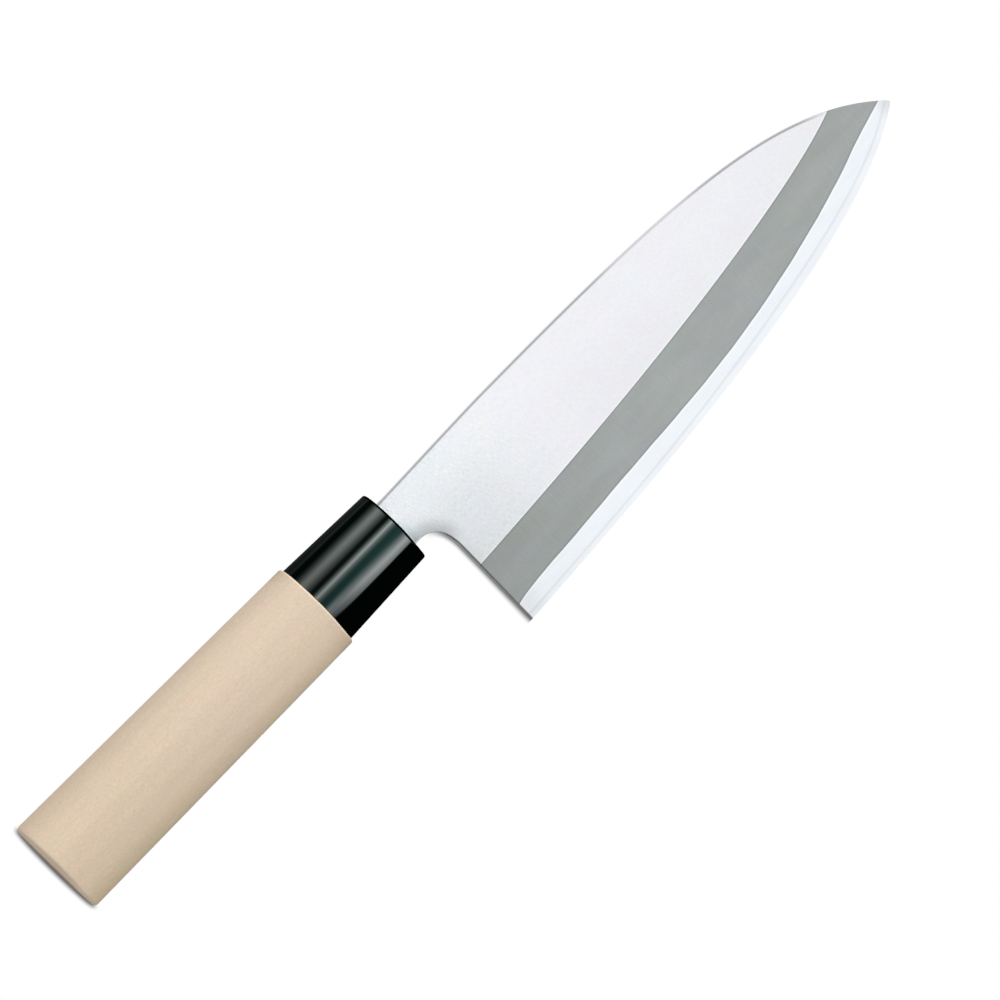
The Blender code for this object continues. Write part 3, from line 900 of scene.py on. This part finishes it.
def satin_steel():
    """The flat: fine scratches across it, faint patches of tint and a painted dark reflection along
    the spine.
    """
    material, tree, shader = new_material("satin_steel")
    scratches = noise(tree, (0.22 * MM, 1.3 * MM, 1.3 * MM), roughness=0.6)
    long_marks = noise(tree, (0.4 * MM, 20 * MM, 20 * MM), shift=7.0)
    broad = noise(tree, (45 * MM, 30 * MM, 30 * MM), detail=1.0, shift=3.0)
    x = part_of_place(tree, "X")
    ridge = measure(tree, "from_ridge")
    heel_end = spread(tree, x, 1.0, 0.0, 2 * MM, 45 * MM)
    lower_half = spread(tree, ridge, 1.0, 0.0, 13 * MM, 28 * MM)
    spine = near_line(tree, measure(tree, "from_spine"), 0.50 * MM, 0.45 * MM)
    behind_tip = spread(tree, x, 1.0, 0.0, 143 * MM, 153 * MM)
    faint_stretch = band(tree, x, 95 * MM, 24 * MM, -0.5)
    y = part_of_place(tree, "Y")
    by_choil = spread(tree, measure(tree, "from_choil"), 1.0, 0.0, 0.0, 5.2 * MM)
    above_heel = spread(tree, y, 0.0, 1.0, -15.5 * MM, -10 * MM)
    by_heel = spread(tree, x, 1.0, 0.0, 1 * MM, 5 * MM)
    below_choil = spread(tree, y, 1.0, 0.0, -15.5 * MM, -10 * MM)
    drift = tinted(tree, SATIN, 0.03, (8 * MM, 6 * MM, 6 * MM))
    before_neck = spread(tree, x, 0.0, 1.0, -4 * MM, 3 * MM)
    less_red = shaded(tree, -0.02, heel_end, before_neck)
    more_green = shaded(tree, 0.012, heel_end, before_neck)
    cooler = node(tree, "CombineXYZ", {0: less_red, 1: more_green, 2: 1.0}).outputs[0]
    colour = vectors(tree, "MULTIPLY", drift, cooler)
    factor = times(
        tree,
        ripple(tree, scratches, spread(tree, x, 0.55, 0.27, 8 * MM, 50 * MM)),
        ripple(tree, long_marks, 0.06),
        spread(tree, broad, 0.985, 1.01),
        # Painted shade: darker towards the ridge and the heel, and round the choil
        spread(tree, ridge, 0.95, 1.0, 0.0, 22 * MM),
        spread(tree, x, 0.965, 1.0, 2 * MM, 30 * MM),
        shaded(tree, -0.11, heel_end, lower_half),
        shaded(tree, -0.07, by_heel, below_choil),
        shaded(tree, -0.35, by_choil, above_heel),
        # A painted highlight along the ridge, a painted dark reflection along the spine and painted
        # shade on the heel
        band(tree, ridge, 0.15 * MM, 0.3 * MM, 0.10),
        shaded(tree, -0.50, spine, behind_tip, faint_stretch),
        heel_painted_shade(tree, -0.78),
    )
    join(
        tree,
        shader,
        Base_Color=scaled(tree, colour, factor),
        Roughness=spread(tree, scratches, 0.34, 0.44),
        Normal=bump(tree, scratches, 0.002 * MM),
        Metallic=1.0,
    )
    return material


def hazed_steel():
    """The ground side of the cladding: matt grey with a mild mottle, and a fine grind across it."""
    material, tree, shader = new_material("hazed_steel")
    grind = noise(tree, (0.14 * MM, 7 * MM, 7 * MM), detail=3.0, roughness=0.6)
    grit = noise(tree, (0.35 * MM, 0.5 * MM, 0.5 * MM), shift=5.0)
    broad = noise(tree, (22 * MM, 6 * MM, 6 * MM), shift=11.0)
    colour = tinted(tree, HAZED, 0.05, (13 * MM, 6 * MM, 6 * MM), shift=2.0)
    factor = times(
        tree,
        ripple(tree, grind, 0.26),
        ripple(tree, grit, 0.42),
        spread(tree, broad, 0.96, 1.03),
        # Painted shade towards the heel
        spread(tree, part_of_place(tree, "X"), 0.86, 1.0, 0.0, 60 * MM),
        band(tree, measure(tree, "from_line"), 0.15 * MM, 0.45 * MM, -0.16),
        # Painted shade along the ridge and on the heel's face
        band(tree, measure(tree, "from_ridge"), -0.2 * MM, 0.35 * MM, -0.16),
        heel_painted_shade(tree, -0.55),
    )
    join(
        tree,
        shader,
        Base_Color=scaled(tree, colour, factor),
        Roughness=spread(tree, grit, 0.52, 0.62),
        Normal=bump(tree, grind, 0.004 * MM),
        Metallic=1.0,
    )
    return material


def bright_steel():
    """The core along the edge: polished and cloudy, with a soft line where the bevel starts."""
    material, tree, shader = new_material("bright_steel")
    clouds = noise(tree, (16 * MM, 2.5 * MM, 2.5 * MM), shift=4.0)
    polish = noise(tree, (0.16 * MM, 4 * MM, 4 * MM), detail=3.0, shift=9.0)
    colour = tinted(tree, BRIGHT, 0.02, (10 * MM, 3 * MM, 3 * MM), shift=6.0)
    x = part_of_place(tree, "X")
    factor = times(
        tree,
        spread(tree, clouds, 0.97, 1.01),
        ripple(tree, polish, 0.008),
        # Painted shade towards the heel
        spread(tree, x, 0.955, 1.0, 0.0, 50 * MM),
        spread(tree, x, 0.90, 1.0, 2 * MM, 10 * MM),
        spread(tree, x, 1.0, 0.84, 160 * MM, BLADE_LENGTH),
        band(tree, measure(tree, "from_bevel"), 0.0, 0.5 * MM, -0.10),
        band(tree, measure(tree, "from_line"), -0.3 * MM, 0.3 * MM, 0.06),
        # Painted shade on the heel's face
        heel_painted_shade(tree, -0.80),
    )
    join(
        tree,
        shader,
        Base_Color=scaled(tree, colour, factor),
        Roughness=spread(tree, clouds, 0.20, 0.30),
        Normal=bump(tree, polish, 0.0002 * MM),
        Metallic=1.0,
    )
    return material


def black_collar():
    """Polished black plastic under a clear polish, with faint waviness and a dull front rim."""
    material, tree, shader = new_material("collar_black")
    rim_start = COLLAR_FRONT - DULL_RIM
    gloss = spread(tree, part_of_place(tree, "X"), 1.0, 0.0, rim_start, rim_start + DULL_RIM_FADE)
    wave = noise(tree, (12 * MM, 2.2 * MM, 2.2 * MM), detail=1.0)
    marks = noise(tree, (9 * MM, 0.12 * MM, 0.12 * MM), detail=3.0, shift=3.0)
    colour = tinted(tree, BLACK, 0.25, (5 * MM, 3 * MM, 3 * MM))
    join(
        tree,
        shader,
        Base_Color=colour,
        Roughness=spread(tree, marks, 0.03, 0.06),
        Normal=bump(tree, wave, 0.006 * MM),
        Coat_Weight=gloss,
        Specular_IOR_Level=times(tree, gloss, 0.5),
        IOR=PLASTIC_IOR,
        Coat_IOR=PLASTIC_IOR,
        Coat_Roughness=POLISH_ROUGHNESS,
    )
    return material


def pale_wood():
    """Pale straight-grained wood: long streaks, short fibres and small flecks along the grain."""
    material, tree, shader = new_material("pale_wood")
    streaks = noise(tree, (60 * MM, 1.1 * MM, 1.1 * MM), detail=3.0, roughness=0.6)
    fibres = noise(tree, (1.0 * MM, 0.38 * MM, 0.38 * MM), roughness=0.6, shift=2.0)
    flecks = noise(tree, (1.4 * MM, 0.28 * MM, 0.28 * MM), detail=1.0, shift=8.0)
    x, y, z = (part_of_place(tree, axis) for axis in "XYZ")
    butt_face = spread(tree, x, 1.0, 0.0, BUTT_END + 0.5 * MM, BUTT_END + 1.5 * MM)
    near_floor = spread(tree, z, 1.0, 0.0, -5.5 * MM, 0.5 * MM)
    # Yellower towards the butt, and on the low side as the colour of its painted shade
    rear = spread(tree, x, 1.0, 0.0, -140 * MM, -70 * MM)
    low = spread(tree, y, 1.0, 0.0, -13 * MM, -7.5 * MM)
    less_green = shaded(tree, -0.015, rear)
    less_blue = times(tree, shaded(tree, -0.045, rear), shaded(tree, -0.06, low))
    yellow = node(tree, "CombineXYZ", {0: 1.0, 1: less_green, 2: less_blue}).outputs[0]
    drift = tinted(tree, WOOD, 0.045, (12 * MM, 4 * MM, 4 * MM), shift=1.0)
    colour = vectors(tree, "MULTIPLY", drift, yellow)
    factor = times(
        tree,
        ripple(tree, streaks, 0.10),
        ripple(tree, fibres, 0.32),
        spread(tree, flecks, 0.92, 1.0, 0.24, 0.38),
        spread(tree, x, 0.97, 1.02, -120 * MM, -40 * MM),
        # A painted highlight on the rounded front edge by the collar
        band(tree, x, COLLAR_REAR - 0.12 * MM, 0.52 * MM, 0.65),
        # Painted shade on the butt's end near the floor
        shaded(tree, -0.34, butt_face, near_floor),
        # Painted light and shade across the handle's section, darkest at its low rim
        spread(tree, y, 0.80, 1.03, -13.5 * MM, -7.5 * MM),
        spread(tree, y, 1.0, 0.97, -3.5 * MM, -0.5 * MM),
        spread(tree, y, 1.08, 1.0, -7.0 * MM, -2.5 * MM),
        spread(tree, y, 0.955, 1.0, 1.2 * MM, 3.0 * MM),
        spread(tree, y, 1.0, 0.965, 9.0 * MM, 11.5 * MM),
    )
    join(
        tree,
        shader,
        Base_Color=scaled(tree, colour, factor),
        Roughness=spread(tree, streaks, 0.55, 0.65),
        # The butt's end near the floor loses its sheen too, which deepens the painted shade there
        Specular_IOR_Level=times(tree, shaded(tree, -1.0, butt_face, near_floor), 0.5),
        Normal=bump(tree, fibres, 0.006 * MM),
    )
    return material


def amber_resin():
    """The resin round the tang, with small bubbles and a cloudy tint."""
    material, tree, shader = new_material("amber_resin")
    bubbles = noise(tree, (0.9 * MM, 0.9 * MM, 0.9 * MM), detail=1.0, world=True)
    colour = tinted(tree, RESIN, 0.10, (4 * MM, 4 * MM, 4 * MM), world=True)
    join(
        tree,
        shader,
        Base_Color=scaled(tree, colour, spread(tree, bubbles, 0.85, 1.1)),
        Roughness=spread(tree, bubbles, 0.30, 0.50),
    )
    return material


def dress_bedding():
    """Keeps the CAD's resin and gives it its finish."""
    bedding = frame["nodes"]["tang_bedding"]
    resin = amber_resin()
    for spot in bedding.material_slots:
        spot.material = resin


def make_camera():
    """A long lens over the blade's right side, leaning to the butt, the knife on a diagonal."""
    turn = LYING.to_3x3()
    towards = (turn @ Vector((-CAMERA_LEAN, 0, 1))).normalized()
    along = (turn @ Vector((1, 0, CAMERA_LEAN))).normalized()
    across = towards.cross(along)
    roll = math.radians(VIEW_ROLL)
    right = along * math.cos(roll) - across * math.sin(roll)
    up = towards.cross(right)
    aim = LYING @ Vector((VIEW_X, VIEW_Y, 0))
    lens = bpy.data.cameras.new("camera")
    lens.sensor_width = SENSOR
    lens.lens = SENSOR * CAMERA_DISTANCE / VIEW_WIDTH
    lens.clip_end = CLIP_END
    camera = bpy.data.objects.new("camera", lens)
    bpy.context.scene.collection.objects.link(camera)
    place = Matrix((right, up, towards)).transposed().to_4x4()
    camera.matrix_world = Matrix.Translation(aim + towards * CAMERA_DISTANCE) @ place
    bpy.context.scene.camera = camera


def stage_object(name, mesh, material):
    mesh.materials.append(material)
    piece = bpy.data.objects.new(name, mesh)
    bpy.context.scene.collection.objects.link(piece)
    return piece


def make_floor():
    """A white floor that throws little light back."""
    material, tree, shader = new_material("floor")
    white = node(tree, "Emission", {"Color": WHITE}).outputs[0]
    plain = node(tree, "BsdfDiffuse", {"Color": FLOOR_COLOUR}).outputs[0]
    path = node(tree, "LightPath").outputs
    either = maths(tree, "MAXIMUM", path["Is Camera Ray"], path["Is Glossy Ray"])
    direct = maths(tree, "MAXIMUM", either, path["Is Transmission Ray"])
    mix = node(tree, "MixShader", {0: direct, 1: plain, 2: white}).outputs[0]
    show_only(tree, shader, mix)
    mesh = bpy.data.meshes.new("floor")
    half = FLOOR_SIZE / 2
    corners = [(-half, -half, 0), (half, -half, 0), (half, half, 0), (-half, half, 0)]
    mesh.from_pydata(corners, [], [(0, 1, 2, 3)])
    stage_object("floor", mesh, material)


def shadow_tone():
    """A painted shadow: dark at the knife's outline and white from where the shadow ends."""
    material, tree, shader = new_material("shadow")
    away = measure(tree, "away")
    outside = spread(tree, away, 1.0, 0.0, -SHADOW_OVERLAP, SHADOW_OUTSIDE)
    inside = spread(tree, away, 0.0, 1.0, -SHADOW_INSIDE, -SHADOW_OVERLAP)
    level = shaded(tree, -SHADOW_DEPTH, outside, inside, measure(tree, "facing"))
    glow(tree, shader, WHITE, level)
    return material


def as_seen(spots):
    """Places in the plan of the blade where the camera sees the spots."""
    return np.stack((spots[:, 0] + CAMERA_LEAN * spots[:, 2], spots[:, 1]), axis=1)


def butt_outline():
    """The butt's outline as the camera sees it: the border of its points, on the rearward side."""
    spots = np.concatenate(rounded_end(wood_ring, BUTT_END, 1, BUTT_ROUND))
    seen = as_seen(spots)
    order = np.lexsort((seen[:, 0], seen[:, 1]))
    border = []
    for k in order:
        while len(border) > 1:
            side = seen[border[-1]] - seen[border[-2]]
            way = seen[k] - seen[border[-2]]
            if side[0] * way[1] < side[1] * way[0]:
                break
            border.pop()
        border.append(k)
    return spots[border]


def make_shadow(name, line, aim, material):
    """A strip of painted shadow on the floor beside a line of the knife's outline as the camera
    sees it.

    Its hidden side lies under the knife and heads for the point that is its aim.
    """
    eye = bpy.context.scene.camera.matrix_world.translation
    along = np.gradient(as_seen(line), axis=0)
    along /= np.linalg.norm(along, axis=1)[:, None]
    outward = np.stack((-along[:, 1], along[:, 0]), axis=1)
    facing = np.clip(-outward[:, 0], 0, 1) ** 2
    reach = np.interp(line[:, 1], (SHADOW_WIDE_Y, SHADOW_NARROW_Y), (SHADOW_WIDE, SHADOW_NARROW))
    points, away = [], []
    steps = np.linspace(-SHADOW_INSIDE, SHADOW_OUTSIDE, SHADOW_STEPS + 1)
    under = line[:, :2] - aim
    under /= np.linalg.norm(under, axis=1)[:, None]
    for spot, beside, below in zip(line, outward * reach[:, None], under):
        for step in steps:
            way_x, way_y = step * (beside if step > 0 else below)
            over = LYING @ Vector((spot[0] + way_x, spot[1] + way_y, spot[2]))
            ray = over - eye
            points.append(eye + ray * ((SHADOW_LIFT - eye.z) / ray.z))
            away.append(step)
    count = len(steps)
    faces = []
    for i in range(len(line) - 1):
        for k in range(count - 1):
            corner = i * count + k
            faces.append((corner, corner + 1, corner + count + 1, corner + count))
    mesh = bpy.data.meshes.new(name)
    mesh.from_pydata(points, [], faces)
    for key, values in (("away", away), ("facing", np.repeat(facing, count))):
        layer = mesh.attributes.new(key, "FLOAT", "POINT")
        layer.data.foreach_set("value", np.array(values, np.float32))
    strip = stage_object(name, mesh, material)
    strip.visible_diffuse = False
    strip.visible_shadow = False


def make_shadows():
    tone = shadow_tone()
    heel = HEEL_SIDE[::SHADOW_EVERY]
    make_shadow("heel_shadow", np.column_stack((heel, np.zeros(len(heel)))), HEEL_SHADOW_AIM, tone)
    make_shadow("butt_shadow", butt_outline(), BUTT_SHADOW_AIM, tone)


def reflector_glow():
    """Light by the angle round the handle, narrower towards the rear and weaker there."""
    material, tree, shader = new_material("reflector")
    place = node(tree, "TexCoord").outputs["Object"]
    parts = node(tree, "SeparateXYZ", {0: place}).outputs
    angle = maths(tree, "ARCTAN2", parts["Y"], parts["Z"])
    behind = maths(tree, "SUBTRACT", REFLECTOR_EVEN_X, parts["X"])
    wider = maths(tree, "MULTIPLY_ADD", behind, REFLECTOR_NARROWS, 1.0)
    low, high = math.radians(REFLECTOR_LOW), math.radians(REFLECTOR_HIGH)
    bent = near_line(tree, angle, math.radians(BENT_STRIP), math.radians(BENT_STRIP_HALF))
    lowered = times(tree, behind, bent, -REFLECTOR_BEND)
    turned = maths(tree, "MULTIPLY_ADD", angle, wider, lowered)
    sockets = {"Value": turned, "From Min": low, "From Max": high}
    ramp = node(tree, "ValToRGB", {"Fac": node(tree, "MapRange", sockets).outputs["Result"]})
    brightest = max(max(colour) for _, colour in REFLECTOR_BANDS)
    stops = ramp.color_ramp.elements
    for _ in REFLECTOR_BANDS[2:]:
        stops.new(1.0)
    for stop, (degrees, colour) in zip(stops, REFLECTOR_BANDS):
        stop.position = (degrees - REFLECTOR_LOW) / (REFLECTOR_HIGH - REFLECTOR_LOW)
        stop.color = (*(part / brightest for part in colour), 1)
    fade = spread(tree, parts["X"], 0.80, 1.12, -40 * MM, -8 * MM)
    rear = spread(tree, parts["X"], 1.0, 0.0, -36 * MM, -22 * MM)
    lower = spread(tree, angle, 1.0, 0.0, math.radians(DIM_FULL), math.radians(DIM_END))
    strength = times(tree, fade, shaded(tree, -DIM_DEPTH, rear, lower), REFLECTOR_LEVEL * brightest)
    glow(tree, shader, ramp.outputs[0], strength)
    material.cycles.emission_sampling = "NONE"
    return material


def leave_to_gloss(piece):
    """Hides a piece of the stage from everything but glossy surfaces."""
    piece.visible_camera = False
    piece.visible_diffuse = False
    piece.visible_transmission = False
    piece.visible_shadow = False


def make_reflector():
    """Strips of light along the handle, which show as lengthwise bands in its gloss."""
    turns = np.radians(np.arange(-180, 180, REFLECTOR_STEP))
    y, z = REFLECTOR_RADIUS * np.sin(turns), REFLECTOR_RADIUS * np.cos(turns)
    bm = bmesh.new()
    loops = []
    for at in np.linspace(REFLECTOR_START, REFLECTOR_END, REFLECTOR_RINGS):
        loop = []
        for point in ring(at, y, z):
            spot = Vector(point)
            rise = max(REFLECTOR_LIFT - (LYING @ spot).z, 0)
            loop.append(bm.verts.new(spot + Vector((0, 0, rise / LYING[2][2]))))
        loops.append(loop)
    for first, second in zip(loops, loops[1:]):
        bridge(bm, first, second)
    reflector = stage_object("reflector", mesh_of("reflector", bm), reflector_glow())
    reflector.matrix_world = LYING
    leave_to_gloss(reflector)


def make_card():
    """The pale sheet before the collar's front."""
    material, tree, shader = new_material("card")
    glow(tree, shader, WHITE, CARD_LEVEL)
    material.cycles.emission_sampling = "NONE"
    points = []
    for spot in collar_ring(COLLAR_FRONT, CARD_MARGIN):
        over = LYING @ Vector((COLLAR_FRONT + CARD_GAP, spot[1], spot[2]))
        over.z = max(over.z, CARD_LIFT)
        points.append(over)
    mesh = bpy.data.meshes.new("card")
    mesh.from_pydata(points, [], [tuple(range(len(points)))])
    leave_to_gloss(stage_object("card", mesh, material))


def make_light():
    """A pale room, darker at the horizon for all but the camera, and a soft lamp on either side."""
    world = bpy.data.worlds.new("world")
    bpy.context.scene.world = world
    world.use_nodes = True
    tree = world.node_tree
    direction = node(tree, "TexCoord").outputs["Generated"]
    height = node(tree, "SeparateXYZ", {0: direction}).outputs["Z"]
    level = spread(tree, height, *ROOM)
    seen = node(tree, "LightPath").outputs["Is Camera Ray"]
    strength = maths(tree, "MAXIMUM", level, seen)
    fill(tree, tree.nodes["Background"], {"Color": WHITE, "Strength": strength})

    for name, place, power in LAMPS:
        lamp = bpy.data.lights.new(name, "AREA")
        lamp.shape = "RECTANGLE"
        lamp.size = LAMP_SIZE
        lamp.size_y = LAMP_SIZE
        lamp.energy = power
        holder = bpy.data.objects.new(name, lamp)
        bpy.context.scene.collection.objects.link(holder)
        holder.location = place
        holder.rotation_euler = Vector(place).to_track_quat("Z", "Y").to_euler()
        holder.visible_camera = False
        holder.visible_glossy = False


LYING = lying_frame()
make_camera()
make_floor()
make_shadows()
make_light()
make_reflector()
make_card()
make_blade()
make_collar()
make_wood()
dress_bedding()
bpy.context.scene.view_settings.view_transform = "Standard"
